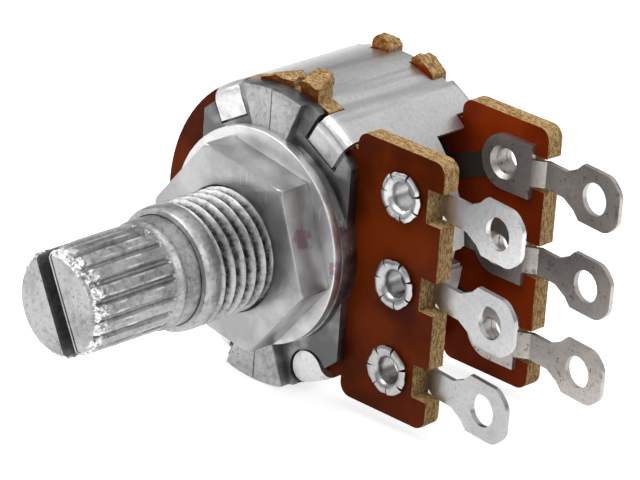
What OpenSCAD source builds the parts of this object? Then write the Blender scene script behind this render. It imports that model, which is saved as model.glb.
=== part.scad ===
// Dual-gang rotary potentiometer, 16 mm class, with a knurled 6 mm shaft and six solder lugs.
// Millimetres. The shaft lies along Y and its tip points to -Y, the terminals point to +X, +Z is up.
// The origin is on the shaft's axis at the face that seats on the panel.

/* [Shaft] */
// Diameter of the plain collar
shaft_d = 6; // [5.8:0.05:6.3]
// Length from the panel face to the tip
shaft_l = 15; // [13.5:0.5:25]
// Length of the knurl and the domed tip together
knurl_l = 6.2; // [4.5:0.1:6.4]
// Diameter over the knurl's crests
knurl_d = 5.8; // [5.7:0.05:6]
// Depth of the knurl
knurl_depth = 0.3; // [0.15:0.05:0.4]
// Number of teeth of the knurl
knurl_teeth = 18; // [12:1:24]
// Length of the smooth rounded tip
tip_l = 1.1; // [0.8:0.1:1.5]
// Width of the screwdriver slot
slot_w = 1; // [0.7:0.05:1.2]
// Depth of the screwdriver slot
slot_depth = 1.5; // [0.8:0.1:2]
// Turn of the slot from upright, in degrees
slot_turn = 27; // [0:1:90]
// Diameter of the neck inside the bushing
neck_d = 5; // [4.6:0.05:5.2]
// Distance between the two driving flats
flats_w = 3.8; // [3.4:0.1:4.2]
// Diameter of the rear pilot
pilot_d = 3; // [2.4:0.1:3.2]
// Diameter at the bottom of the clip's groove
groove_d = 4; // [3.8:0.05:4.3]

/* [Bushing and front plate] */
// Outer diameter of the bushing's thread
bush_d = 7; // [6.8:0.05:7.4]
// Depth of the bushing's thread
thread_depth = 0.46; // [0.4:0.02:0.5]
// Length of the bushing from the panel face
bush_l = 7.5; // [6.5:0.1:8]
// Chamfer at the bushing's tip
bush_chamfer = 0.2; // [0.1:0.05:0.25]
// Diameter of the mouth of the bushing's bore
bush_mouth_d = 6.4; // [6.35:0.05:6.5]
// Depth of the mouth of the bushing's bore
bush_mouth_depth = 0.6; // [0.4:0.1:1]
// Thickness of the front plate at its raised pads
plate_t = 1.2; // [1.1:0.05:1.5]
// How far the plate's field lies behind the pads
field_depth = 0.6; // [0.45:0.05:0.65]
// Half width of the plate, from its centre to its straight sides
plate_half_w = 5.5; // [5.2:0.05:5.6]
// How much the cut corners take off the plate's round
corner_cut = 0.65; // [0.55:0.05:0.8]
// Direction of the cut corners, in degrees from the terminal side
plate_corner_angle = 49; // [47:1:51]
// Half width of the raised pads at the plate's rim
pad_half_w = 2.2; // [1.8:0.05:2.3]
// Half width of the raised pads at the round seat
pad_root_half_w = 1.2; // [1:0.05:1.4]
// Diameter of the round seat under the washer
seat_d = 11.8; // [11.4:0.1:11.9]

/* [Nut and washer] */
// Width of the nut across its flats
nut_af = 10; // [9:0.5:11]
// Thickness of the nut
nut_t = 2.1; // [1.8:0.1:2.5]
// Turn of the nut, in degrees
nut_turn = -9; // [-30:1:30]
// Outer diameter of the washer
washer_d = 12.1; // [11.5:0.1:12.2]
// Thickness of the washer
washer_t = 0.6; // [0.4:0.1:0.8]
// Diameter of the washer's hole
washer_hole_d = 7.5; // [7.5:0.05:7.8]
// How far the washer has slipped off centre
washer_slip = 0.2; // [0:0.05:0.2]

/* [Boards] */
// Thickness of a board
board_t = 1.1; // [0.9:0.05:1.4]
// Distance between the two boards
board_gap = 7.05; // [6.8:0.05:8]
// How far the front board and the plate stay inside the case's outer wall
head_short = 0.02; // [0.01:0.01:0.05]
// Distance from the shaft's axis to the tail's end
tail_x = 11.5; // [11.3:0.1:12]
// Distance from the shaft's axis to where the tail's straight sides start
tail_root_x = 5.35; // [5.2:0.05:5.5]
// Half height of the tail
tail_half_h = 7.6; // [7.3:0.1:8]
// Radius of the tail's corners
tail_corner_r = 0.7; // [0.4:0.1:1]
// Width of a notch in the tail
notch_w = 1.9; // [1.8:0.1:2.2]
// Depth of a notch in the tail
notch_depth = 1.05; // [0.9:0.05:1.1]
// Height of the tallest ear above the board's round head
ear_h = 1.2; // [1:0.05:1.4]

/* [Case] */
// Outer diameter of the case shell
case_d = 16.9; // [16.9:0.02:17]
// Thickness of the sheet
case_t = 0.35; // [0.25:0.05:0.35]
// Angle at which the full wall ends, from the terminal side
case_mouth = 46; // [44:1:47]
// Front edge of the narrow band, behind the front board
band_offset = 2; // [1.6:0.1:2.2]
// Width of the narrow band across the terminal side
band_w = 2.5; // [2:0.1:2.8]
// How far the case's rear rim stays short of the rear board's back
rim_short = 0.4; // [0.2:0.05:0.5]
// Angle of the folded tabs, from the terminal side
tab_angle = 60.5; // [60:0.5:61]
// How much lower the two lower tabs stand, in degrees
lower_tab_shift = 3; // [2:0.5:3]
// Width of a folded tab
tab_w = 2.1; // [1.9:0.05:2.1]
// Inner radius of the tabs' bend at the front
tab_bend = 0.5; // [0.3:0.05:0.5]
// How far a tab reaches in from the case's outer wall
tab_reach = 1.9; // [1.5:0.1:2]
// Half angle of the stop that the case's ends form, in degrees
stop_half = 4; // [3:0.5:6]
// How far the stop reaches inwards
stop_reach = 1.3; // [1.1:0.1:1.4]

/* [Terminals] */
// Pitch of the terminals
lug_pitch = 5; // [4.9:0.05:5.08]
// Thickness of the terminal sheet
lug_t = 0.3; // [0.25:0.05:0.4]
// Distance from the shaft's axis to the rivets
rivet_x = 8.75; // [8.7:0.05:8.9]
// Diameter of the drawn eyelet in the board
eyelet_d = 2; // [1.8:0.1:2.2]
// Wall of the drawn eyelet
eyelet_wall = 0.28; // [0.2:0.02:0.35]
// Diameter of the flared head
flare_d = 2.8; // [2.5:0.1:3]
// Height of the flared head
flare_h = 0.35; // [0.25:0.05:0.45]
// Width of a terminal's foot
foot_w = 3.1; // [2.8:0.1:3.2]
// Width of a terminal's neck
neck_w = 1.5; // [1.3:0.1:1.6]
// Distance from the shaft's axis to the lug's eye
eye_x = 15.2; // [14.8:0.1:16]
// Width of a lug
lug_w = 3.2; // [2.9:0.1:3.4]
// Length of a lug
lug_len = 3.7; // [3.4:0.1:4]
// Diameter of the lug's eye
eye_d = 1.8; // [1.4:0.1:1.9]
// Step of the neck through the notch
neck_step = 0.45; // [0.3:0.05:0.6]
// Lean of the lugs towards the shaft's side, in degrees
lug_lean = 7; // [0:1:9]

/* [Rotor and contacts] */
// Whole travel of the shaft, in degrees
travel = 300; // [270:5:300]
// Diameter of the drum's two flanges
flange_d = 12.6; // [12:0.1:13]
// Thickness of a flange
flange_t = 1.05; // [0.9:0.05:1.3]
// Diameter of the drum's core
core_d = 8.4; // [7.6:0.1:9]
// Gap from the drum's stop lug to the case
lug_gap = 0.5; // [0.4:0.05:0.6]
// Gap from a board to the drum
drum_gap = 0.65; // [0.6:0.05:0.8]
// Thickness of the contact springs
spring_t = 0.15; // [0.1:0.05:0.2]
// Width of a contact finger
finger_w = 0.6; // [0.4:0.05:0.7]
// Thickness of the printed films
film_t = 0.05; // [0.03:0.01:0.08]
// Width of the carbon track
track_w = 1; // [0.8:0.1:1.1]
// Width of the contact ring
ring_w = 0.8; // [0.6:0.1:0.9]
// Space between the carbon track and the contact ring
film_space = 0.55; // [0.5:0.05:0.6]
// Half angle of the gap in the carbon track, in degrees
track_gap = 30; // [28:1:34]

/* [Fits] */
// Running clearance round the shaft, radial
run_gap = 0.05; // [0.03:0.01:0.08]
// Clearance between pieces that are assembled and stay
seat_gap = 0.04; // [0.02:0.01:0.06]
// Clearance that lets a tab pass through its slot, each side
slot_gap = 0.12; // [0.08:0.01:0.15]

/* [Hidden] */
$fn = 96;

// Places along the shaft, front to rear
board_f0 = plate_t;
board_f1 = board_f0 + board_t;
board_r0 = board_f1 + board_gap;
board_r1 = board_r0 + board_t;
field_y = field_depth;
rim_y = board_r1 - rim_short;
hub_end = board_f1 - 0.2;
clip_t = 0.4;
clip_y = hub_end + run_gap;
drum_y0 = board_f1 + drum_gap;
drum_y1 = board_r0 - drum_gap;
nut_y = -washer_t - nut_t;
collar_end = -bush_l + bush_mouth_depth / 5;
knurl_end = -shaft_l + knurl_l;
band_y0 = board_f1 + band_offset;
band_y1 = band_y0 + band_w;

// Radii of the case and of what sits in it
case_ro = case_d / 2;
case_ri = case_ro - case_t;
head_r = case_ro - head_short;
rear_head_r = case_ri - seat_gap;
slot_floor_r = case_ri - slot_gap - seat_gap;
tab_end_r = case_ro - tab_reach;
stop_lug_r = case_ri - lug_gap;

// Radii of the films, and of the hub that stands inside them
track_r = flange_d / 2 - track_w / 2;
ring_r = track_r - track_w / 2 - film_space - ring_w / 2;
film_edge = 0.16;
hub_r = ring_r - ring_w / 2 - film_edge - seat_gap;

// Minor radius of the thread, which the bushing's body takes inside the nut
root_r = bush_d / 2 - thread_depth;

// Ears, left where the boards were broken from their strip. Each has its left side, its right side, the peak's
// place between them, then its height at the left, the peak and the right as a share of the tallest, and how much
// lower the break is at the board's front face than at its rear face
front_ears = [[-2, 0.4, 0.8, -0.1, 0.5, 0.35, 0.25], [0.95, 2.25, 0.45, 0.85, 1, 0.9, 0.75]];
rear_ears = [[-1.55, -0.3, 0.5, 0.4, 0.7, 0.2, -0.4], [1.4, 3, 0.25, 0.1, 0.45, -0.3, -0.25]];

// Sets a flat outline, drawn in x and z, between two planes y0 and y1
module slab(y0, y1) {
    translate([0, y1, 0]) rotate([90, 0, 0]) linear_extrude(y1 - y0) children();
}

// Turns a profile, drawn as radius and minus y, round the shaft's axis
module turned(from = 0, sweep = 360) {
    rotate([90, 0, 0]) rotate([0, 0, from]) rotate_extrude(angle = sweep) children();
}

// Profile points given as radius and y
module profile(points) {
    polygon([for (p = points) [p[0], -p[1]]]);
}

// A plain cylinder along the shaft between two planes
module disc(r, y0, y1) {
    slab(y0, y1) circle(r = r);
}

// Points of an arc, for outlines
function arc(cx, cy, r, a0, a1, n) = [for (i = [0:n]) let (a = a0 + (a1 - a0) * i / n) [cx + r * cos(a), cy + r * sin(a)]];

// A rectangle with round corners, made of exact squares and circles
module round_rect(x0, z0, x1, z1, r) {
    translate([x0 + r, z0]) square([x1 - x0 - 2 * r, z1 - z0]);
    translate([x0, z0 + r]) square([x1 - x0, z1 - z0 - 2 * r]);
    for (x = [x0 + r, x1 - r], z = [z0 + r, z1 - r]) translate([x, z]) circle(r = r);
}

// A bar that points outwards at an angle, from radius r0 to r1
module spoke(angle, r0, r1, w) {
    rotate(angle) translate([r0, -w / 2]) square([r1 - r0, w]);
}

// A sector of a ring
module ring_sector(r0, r1, a0, a1) {
    steps = max(4, ceil((a1 - a0) / 12));
    far = r1 / cos((a1 - a0) / steps / 2) + 0.01;
    intersection() {
        difference() {
            circle(r = r1);
            circle(r = r0);
        }
        polygon(concat([[0, 0]], arc(0, 0, far, a0, a1, steps)));
    }
}

// The places of the four folded tabs round the front plate: upper right, upper left, lower left, lower right
tab_angles = [tab_angle, 180 - tab_angle, 180 + tab_angle + lower_tab_shift, 360 - tab_angle - lower_tab_shift];
// Room round each tab in its recess. The upper left one lies flush and tight
tab_room = [2 * slot_gap, slot_gap / 2, 2 * slot_gap, 2.5 * slot_gap];
// The tabs with a round end are the two lower ones
tab_is_round = [false, false, true, true];

module plate_outline() {
    wide = 4 * head_r;
    intersection() {
        circle(r = head_r);
        square([2 * plate_half_w, wide], center = true);
        intersection_for (a = [plate_corner_angle, 180 - plate_corner_angle, 180 + plate_corner_angle, -plate_corner_angle])
            rotate(a) translate([-wide, -wide / 2]) square([wide + head_r - corner_cut, wide]);
    }
}

// Two pads, above and below, that widen from the round seat to the rim
module pad_outline() {
    seat_r = seat_d / 2;
    slope = (pad_half_w - pad_root_half_w) / (head_r - seat_r);
    root = pad_root_half_w - slope * seat_r / 2;
    for (turn = [0, 180]) rotate(turn) intersection() {
        circle(r = head_r);
        polygon([
            [-root, seat_r / 2], [root, seat_r / 2], [pad_half_w + slope, head_r + 1], [-pad_half_w - slope, head_r + 1]
        ]);
    }
}

// Recess that a folded tab lies in
module tab_recess_outline(i) {
    w = tab_w + 2 * tab_room[i];
    inner = tab_end_r - slot_gap;
    rotate(tab_angles[i]) {
        if (tab_is_round[i]) {
            translate([inner + w / 2, 0]) circle(d = w);
            translate([inner + w / 2, -w / 2]) square([head_r, w]);
        } else {
            translate([inner, -w / 2]) square([head_r, w]);
        }
    }
}

module bushing_plate() {
    bore_r = neck_d / 2 + run_gap;
    crest_r = bush_d / 2;
    crease_w = 0.08;
    crease_depth = 0.06;
    color([0.72, 0.72, 0.72]) difference() {
        union() {
            slab(field_y, plate_t) plate_outline();
            slab(0, plate_t) pad_outline();
            disc(seat_d / 2, 0, plate_t);
            disc(hub_r, 0, hub_end);
            turned() profile([
                [0, 0.1], [crest_r, 0.1], [crest_r, -washer_t + seat_gap], [root_r, -washer_t + seat_gap],
                [root_r, nut_y - seat_gap], [crest_r, nut_y - seat_gap], [crest_r, -bush_l + bush_chamfer],
                [crest_r - bush_chamfer, -bush_l], [0, -bush_l]
            ]);
        }
        for (i = [0:3]) {
            slab(-1, field_y + case_t) tab_recess_outline(i);
            // Through notch at the rim that the tab's bend stands in
            slab(-1, plate_t + 1) spoke(tab_angles[i], case_ri - tab_bend - seat_gap, case_d, tab_w + 2 * tab_room[i]);
        }
        // Fine crease down the middle of each pad
        slab(-1, crease_depth) difference() {
            square([crease_w, 4 * head_r], center = true);
            circle(d = seat_d);
        }
        disc(bore_r, -bush_l - 1, hub_end + 1);
        turned() profile([
            [0, -bush_l - 0.1], [bush_mouth_d / 2, -bush_l - 0.1], [bush_mouth_d / 2, -bush_l],
            [bore_r, -bush_l + bush_mouth_depth], [0, -bush_l + bush_mouth_depth]
        ]);
    }
}

module washer() {
    color([0.8, 0.8, 0.8]) translate([-washer_slip / 2, 0, washer_slip * 0.85]) difference() {
        disc(washer_d / 2, -washer_t, 0);
        disc(washer_hole_d / 2, -washer_t - 1, 1);
    }
}

module hex_nut() {
    corner_r = nut_af / 2 / cos(30);
    mouth_r = bush_d / 2 + 0.35;
    bevel = 0.2;
    color([0.8, 0.8, 0.8]) rotate([0, -nut_turn, 0]) difference() {
        intersection() {
            slab(nut_y, -washer_t) circle(r = corner_r, $fn = 6);
            turned() profile([
                [0, nut_y], [corner_r - bevel, nut_y], [corner_r + 0.1, nut_y + bevel],
                [corner_r + 0.1, -washer_t - bevel], [corner_r - bevel, -washer_t], [0, -washer_t]
            ]);
        }
        disc(root_r + seat_gap, nut_y - 1, 1);
        turned() profile([
            [0, nut_y - 0.1], [mouth_r, nut_y - 0.1], [mouth_r, nut_y],
            [root_r, nut_y + mouth_r - root_r], [0, nut_y + mouth_r - root_r]
        ]);
    }
}

// Outline of the knurl: a crest and a root for each tooth
module knurl_outline() {
    crest = knurl_d / 2;
    root = crest - knurl_depth;
    step = 360 / knurl_teeth;
    polygon([for (i = [0:knurl_teeth - 1], k = [[-0.16, crest], [0.16, crest], [0.5, root]])
        let (a = (i + k[0]) * step) [k[1] * cos(a), k[1] * sin(a)]]);
}

module shaft() {
    tip = -shaft_l;
    crest = knurl_d / 2;
    // The turned body stays just inside the knurl's roots and crests, so that no faces coincide
    core = crest - knurl_depth - 0.05;
    shoulder = crest - 0.05;
    round_r = 0.35;
    knurl_start = tip + tip_l;
    r = shaft_d / 2;
    color([0.7, 0.7, 0.7]) difference() {
        union() {
            turned() profile(concat(
                [[0, tip], [crest * 0.55, tip]],
                [for (q = arc(shoulder - round_r, 0, round_r, 50, 0, 5)) [q[0], knurl_start - tip_l * 0.5 - q[1]]],
                [[shoulder, knurl_start], [core, knurl_start + 0.15], [core, knurl_end], [r, knurl_end + 0.25],
                 [r, collar_end], [neck_d / 2, collar_end], [neck_d / 2, clip_y], [groove_d / 2, clip_y],
                 [groove_d / 2, clip_y + clip_t + run_gap], [neck_d / 2, clip_y + clip_t + run_gap],
                 [neck_d / 2, drum_y0], [pilot_d / 2, drum_y0], [pilot_d / 2, board_r1 - 0.2], [0, board_r1 - 0.2]]
            ));
            intersection() {
                slab(knurl_start - 0.1, knurl_end + 0.1) knurl_outline();
                turned() profile([
                    [0, knurl_start - 1], [shoulder - 0.05, knurl_start - 1], [shoulder - 0.05, knurl_start - 0.05],
                    [crest + 0.1, knurl_start + 0.1], [crest + 0.1, knurl_end + 1], [0, knurl_end + 1]
                ]);
            }
            // The part that drives the drum, between its two flats
            slab(drum_y0 - 0.1, drum_y1) intersection() {
                circle(r = neck_d / 2 - 0.01);
                square([flats_w, 2 * neck_d], center = true);
            }
        }
        rotate([0, -slot_turn, 0]) translate([-slot_w / 2, tip - 1, -shaft_d])
            cube([slot_w, slot_depth + 1, 2 * shaft_d]);
    }
}

module shaft_clip() {
    outer = groove_d / 2 + 1.25;
    color([0.55, 0.55, 0.58]) slab(clip_y + run_gap / 2, clip_y + clip_t) difference() {
        circle(r = outer);
        circle(r = groove_d / 2 + seat_gap);
        rotate(-90) polygon([[0, 0], [2 * outer, outer], [2 * outer, -outer]]);
    }
}

module ear_outlines(ears) {
    for (e = ears) {
        foot = sqrt(pow(rear_head_r, 2) - pow(max(-e[0], e[1]), 2)) - 0.5;
        polygon([
            [e[1], foot], [e[1], head_r + ear_h * e[5]], [e[0] + (e[1] - e[0]) * e[2], head_r + ear_h * e[4]],
            [e[0], head_r + ear_h * e[3]], [e[0], foot]
        ]);
    }
}

// What the slanted breaks take off the ears of a board whose front face is at y0
module ear_breaks(ears, y0) {
    for (e = ears) {
        peak = head_r + ear_h * e[4];
        over = 0.1;
        translate([e[0] - over, 0, 0]) rotate([90, 0, 90]) linear_extrude(e[1] - e[0] + 2 * over) polygon([
            [y0 - over, peak - max(e[6], 0)], [y0 + board_t + over, peak - max(-e[6], 0)],
            [y0 + board_t + over, peak + 1], [y0 - over, peak + 1]
        ]);
    }
}

module tail_outline() {
    difference() {
        round_rect(tail_root_x, -tail_half_h, tail_x, tail_half_h, tail_corner_r);
        for (i = [-1:1]) translate([tail_x - notch_depth, i * lug_pitch - notch_w / 2]) square([2, notch_w]);
    }
    // The middle part of the board behind the tail's corners
    inner_h = 1.52 * head_r;
    translate([0, -inner_h / 2]) square([tail_root_x + tail_corner_r + 0.1, inner_h]);
}

module board_holes() {
    for (i = [-1:1]) translate([rivet_x, i * lug_pitch]) circle(d = eyelet_d + 2 * seat_gap);
}

module front_wafer() {
    color([0.45, 0.13, 0.05]) difference() {
        slab(board_f0, board_f1) difference() {
            union() {
                circle(r = head_r);
                ear_outlines(front_ears);
                tail_outline();
            }
            for (a = tab_angles) spoke(a, slot_floor_r, case_d, tab_w + 2 * slot_gap);
            board_holes();
            circle(r = hub_r + seat_gap);
        }
        ear_breaks(front_ears, board_f0);
    }
}

module rear_wafer() {
    color([0.45, 0.13, 0.05]) difference() {
        slab(board_r0, board_r1) difference() {
            union() {
                circle(r = rear_head_r);
                ear_outlines(rear_ears);
                tail_outline();
            }
            board_holes();
            circle(d = pilot_d + 2 * run_gap);
        }
        ear_breaks(rear_ears, board_r0);
    }
}

// The four folded tabs in plan: a strip with a squared or a round inner end
module tab_outlines(w, may_be_round) {
    for (i = [0:3]) rotate(tab_angles[i]) {
        if (may_be_round && tab_is_round[i]) {
            translate([tab_end_r + w / 2, 0]) circle(d = w);
            translate([tab_end_r + w / 2, -w / 2]) square([case_d, w]);
        } else {
            translate([tab_end_r, -w / 2]) square([case_d, w]);
        }
    }
}

// All that lies between two planes and outside the strips that are kept
module trim_between(y0, y1) {
    slab(y0, y1) difference() {
        circle(r = case_d);
        children();
    }
}

// One of the two inward-bent ends of the narrow band
module stop_end(side) {
    inner = case_ro - stop_reach;
    slab(band_y0, band_y1) rotate(side * stop_half) {
        translate([inner, -case_t / 2]) square([stop_reach - case_t / 2, case_t]);
        translate([inner, 0]) circle(d = case_t * 1.3);
    }
}

// The shell starts as a full turned ring with both folds, and what is open is cut away
module case_shell() {
    rim_bend = 0.1;
    front_neck = case_ri - tab_bend;
    rim_neck = case_ri - rim_bend;
    front_in = field_y + case_t;
    rear_tab_w = tab_w * 0.75;
    color([0.78, 0.79, 0.8]) {
        difference() {
            turned() profile(concat(
                [[tab_end_r - 0.5, field_y]],
                [for (q = arc(0, 0, tab_bend + case_t, 90, 0, 8)) [front_neck + q[0], front_in + tab_bend - q[1]]],
                [for (q = arc(0, 0, rim_bend + case_t, 0, 90, 6)) [rim_neck + q[0], board_r1 - rim_bend + q[1]]],
                [[tab_end_r - 0.5, board_r1 + case_t], [tab_end_r - 0.5, board_r1]],
                [for (q = arc(0, 0, rim_bend, 90, 0, 3)) [rim_neck + q[0], board_r1 - rim_bend + q[1]]],
                [for (q = arc(0, 0, tab_bend, 0, 90, 6)) [front_neck + q[0], front_in + tab_bend - q[1]]],
                [[tab_end_r - 0.5, front_in]]
            ));
            trim_between(field_y - 1, board_f1) tab_outlines(tab_w, true);
            trim_between(rim_y, board_r1 + 1) tab_outlines(rear_tab_w, false);
            // The mouth on the terminal side, in front of the narrow band and behind it
            slab(board_f1 - 1, band_y0) spoke_fan(case_mouth);
            slab(band_y1, board_r1 + 1) spoke_fan(case_mouth);
            slab(board_r0 - 3 * slot_gap, board_r1 + 1) spoke_fan(acos((tail_root_x - slot_gap) / case_ro));
            slab(band_y0 - 1, band_y1 + 1) spoke_fan(stop_half);
            // Slots, open at the rear rim, that the rear board's ears stand in
            for (e = rear_ears) translate([e[0] - slot_gap, board_r0 - slot_gap, 0])
                cube([e[1] - e[0] + 2 * slot_gap, board_t - rim_short + 2 * slot_gap, case_d]);
        }
        stop_end(1);
        stop_end(-1);
    }
}

// A wedge of the plane about the terminal side, to a half angle on each side
module spoke_fan(half) {
    far = 2 * case_d;
    polygon([[0, 0], [far * cos(half), -far * sin(half)], [far * cos(half), far * sin(half)]]);
}

// Plan of a terminal, as seen along the shaft, with its rivet on the x axis
module terminal_plan() {
    foot_end = tail_x - notch_depth + 0.2;
    translate([rivet_x, 0]) circle(d = foot_w);
    translate([rivet_x, -foot_w / 2]) square([foot_end - rivet_x, foot_w]);
    translate([rivet_x, -neck_w / 2]) square([eye_x - rivet_x, neck_w]);
    translate([eye_x, 0]) intersection() {
        square([lug_len, lug_w], center = true);
        rotate(45) square([lug_len * 1.03, lug_len * 1.03], center = true);
        circle(d = lug_len * 1.06);
    }
    // The neck widens into the lug
    translate([eye_x - lug_len / 2, 0]) polygon([
        [-0.5, -neck_w / 2], [0.3, -lug_w * 0.36], [0.3, lug_w * 0.36], [-0.5, neck_w / 2]
    ]);
}

// Side of a terminal in x and height above the board. The step goes down into the notch,
// and the lug leans by the angle that is given
module terminal_side(lean) {
    x0 = rivet_x - foot_w;
    x1 = tail_x - notch_depth + 0.25;
    x2 = x1 + 0.7;
    x3 = eye_x + lug_len;
    drop = (x3 - x2) * tan(lean);
    polygon([
        [x0, 0], [x1, 0], [x2, -neck_step], [x3, -neck_step - drop],
        [x3, -neck_step - drop + lug_t], [x2, -neck_step + lug_t], [x1, lug_t], [x0, lug_t]
    ]);
}

// A terminal that stands on a board in the plane z = 0. The eyelet goes down through the board
module terminal(lean) {
    x2 = tail_x - notch_depth + 0.95;
    inner = eyelet_d / 2 - eyelet_wall;
    tall = 2 * lug_len;
    difference() {
        union() {
            intersection() {
                translate([0, 0, -tall]) linear_extrude(2 * tall) terminal_plan();
                rotate([90, 0, 0]) translate([0, 0, -foot_w]) linear_extrude(2 * foot_w) terminal_side(lean);
            }
            translate([rivet_x, 0, 0]) rotate_extrude() polygon([
                [0, lug_t], [eyelet_d / 2, lug_t], [eyelet_d / 2, -board_t], [flare_d / 2 - 0.1, -board_t],
                [flare_d / 2, -board_t - 0.1], [flare_d / 2 - 0.15, -board_t - flare_h * 0.75],
                [inner + 0.3, -board_t - flare_h], [0, -board_t - flare_h]
            ]);
        }
        translate([rivet_x, 0, 0]) rotate_extrude() polygon([
            [0, lug_t + 0.1], [eyelet_d / 2 - 0.05, lug_t + 0.1], [eyelet_d / 2 - 0.05, lug_t],
            [inner, lug_t - 0.25], [inner, -board_t - flare_h * 0.2], [inner + 0.25, -board_t - flare_h],
            [inner + 0.25, -board_t - flare_h - 0.1], [0, -board_t - flare_h - 0.1]
        ]);
        translate([eye_x, 0, -neck_step - (eye_x - x2) * tan(lean)]) rotate([0, lean, 0])
            cylinder(d = eye_d, h = tall, center = true);
    }
}

module front_terminal(i) {
    color([0.82, 0.82, 0.82]) translate([0, board_f1, (2 - i) * lug_pitch]) rotate([-90, 0, 0]) terminal(lug_lean);
}

module rear_terminal(i) {
    color([0.66, 0.63, 0.61]) translate([0, board_r0, (2 - i) * lug_pitch]) rotate([90, 0, 0]) terminal(-lug_lean);
}

// The drum: two flanges on a core, with a lug between them that meets the case's stop
module rotor() {
    stop_reach_angle = asin((case_t * 1.5) / (case_ro - stop_reach)) + stop_half;
    lug_half = 180 - travel / 2 - stop_reach_angle;
    color([0.9, 0.88, 0.82]) difference() {
        union() {
            disc(core_d / 2, drum_y0, drum_y1);
            disc(flange_d / 2, drum_y0, drum_y0 + flange_t);
            disc(flange_d / 2, drum_y1 - flange_t, drum_y1);
            slab(band_y0 - 0.1, band_y1 + 0.1) ring_sector(core_d / 2 - 0.5, stop_lug_r, 180 - lug_half, 180 + lug_half);
        }
        slab(drum_y0 - 1, drum_y1 + 1) intersection() {
            circle(r = neck_d / 2 + seat_gap);
            square([flats_w + 2 * seat_gap, 2 * neck_d], center = true);
        }
    }
}

// A contact spring in the plane z = 0, its fingers rising to the films at z = rise
module wiper(rise) {
    // Half width of the window that is cut round a finger
    window = finger_w / 2 + 0.1;
    plate_r0 = neck_d / 2 + 0.6;
    plate_r1 = track_r + window;
    difference() {
        linear_extrude(spring_t) ring_sector(plate_r0, plate_r1, 130, 230);
        for (r = [track_r, ring_r]) translate([0, 0, -1]) linear_extrude(2)
            ring_sector(r - window, r + window + 0.1, 164, 215);
    }
    for (r = [track_r, ring_r]) {
        run = r * 0.56;
        rotate([0, 0, 184]) translate([r - finger_w / 2, 0, 0]) rotate([90, 0, 90]) linear_extrude(finger_w) polygon([
            [-run * 0.75, 0], [-run * 0.75, spring_t], [-0.25, rise - 0.1], [0, rise], [0.2, rise - 0.1],
            [0.3, rise - 0.35], [0.15, rise - 0.35], [0, rise - spring_t], [-run * 0.68, 0]
        ]);
    }
}

wiper_rise = drum_gap - film_t - 0.02;

module front_wiper() {
    color([0.8, 0.65, 0.4]) translate([0, drum_y0, 0]) rotate([90, 0, 0]) wiper(wiper_rise);
}

module rear_wiper() {
    color([0.8, 0.65, 0.4]) translate([0, drum_y1, 0]) rotate([-90, 0, 0]) mirror([0, 1, 0]) wiper(wiper_rise);
}

// Printed horseshoe of carbon, with a leg to each outer terminal's foot
module track_outline() {
    difference() {
        union() {
            ring_sector(track_r - track_w / 2, track_r + track_w / 2, track_gap, 360 - track_gap);
            for (s = [-1, 1]) {
                start = [track_r * cos(track_gap + 5), s * track_r * sin(track_gap + 5)];
                pad = [rivet_x, s * lug_pitch];
                span = norm(pad - start);
                translate(start) rotate(atan2(pad[1] - start[1], pad[0] - start[0]))
                    translate([0, -track_w * 0.7]) square([span, track_w * 1.4]);
            }
        }
        for (s = [-1, 1]) translate([rivet_x, s * lug_pitch]) circle(d = foot_w + 2 * seat_gap);
    }
}

// Printed ring with a leg to the middle terminal's foot
module collector_outline() {
    difference() {
        union() {
            difference() {
                circle(r = ring_r + ring_w / 2);
                circle(r = ring_r - ring_w / 2);
            }
            translate([ring_r, -ring_w]) square([rivet_x - ring_r, 2 * ring_w]);
        }
        translate([rivet_x, 0]) circle(d = foot_w + 2 * seat_gap);
    }
}

module front_track() {
    color([0.12, 0.12, 0.13]) slab(board_f1, board_f1 + film_t) track_outline();
}

module rear_track() {
    color([0.12, 0.12, 0.13]) slab(board_r0 - film_t, board_r0) track_outline();
}

module front_collector() {
    color([0.6, 0.6, 0.62]) slab(board_f1, board_f1 + film_t) collector_outline();
}

module rear_collector() {
    color([0.6, 0.6, 0.62]) slab(board_r0 - film_t, board_r0) collector_outline();
}

bushing_plate();
washer();
hex_nut();
shaft();
shaft_clip();
front_wafer();
rear_wafer();
case_shell();
front_terminal(1);  // front_terminal_1
front_terminal(2);  // front_terminal_2
front_terminal(3);  // front_terminal_3
rear_terminal(1);  // rear_terminal_1
rear_terminal(2);  // rear_terminal_2
rear_terminal(3);  // rear_terminal_3
rotor();
front_wiper();
rear_wiper();
front_track();
rear_track();
front_collector();
rear_collector();
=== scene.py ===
# %% [markdown]
# # A dual-gang rotary potentiometer
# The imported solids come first, as a fixed frame in metres: the shaft's tip points to -Y, the solder lugs
# to +X, and +Z is up. The origin lies on the shaft's axis at the face that seats on the panel.
# This lesson dresses the solids. It gives the bushing its thread, splits the flared eyelets,
# roughens what was broken or punched, and writes one finish for each material.

# %% Load the frame
import math

import bmesh
import bpy
from mathutils import Matrix, Vector, noise


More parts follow.
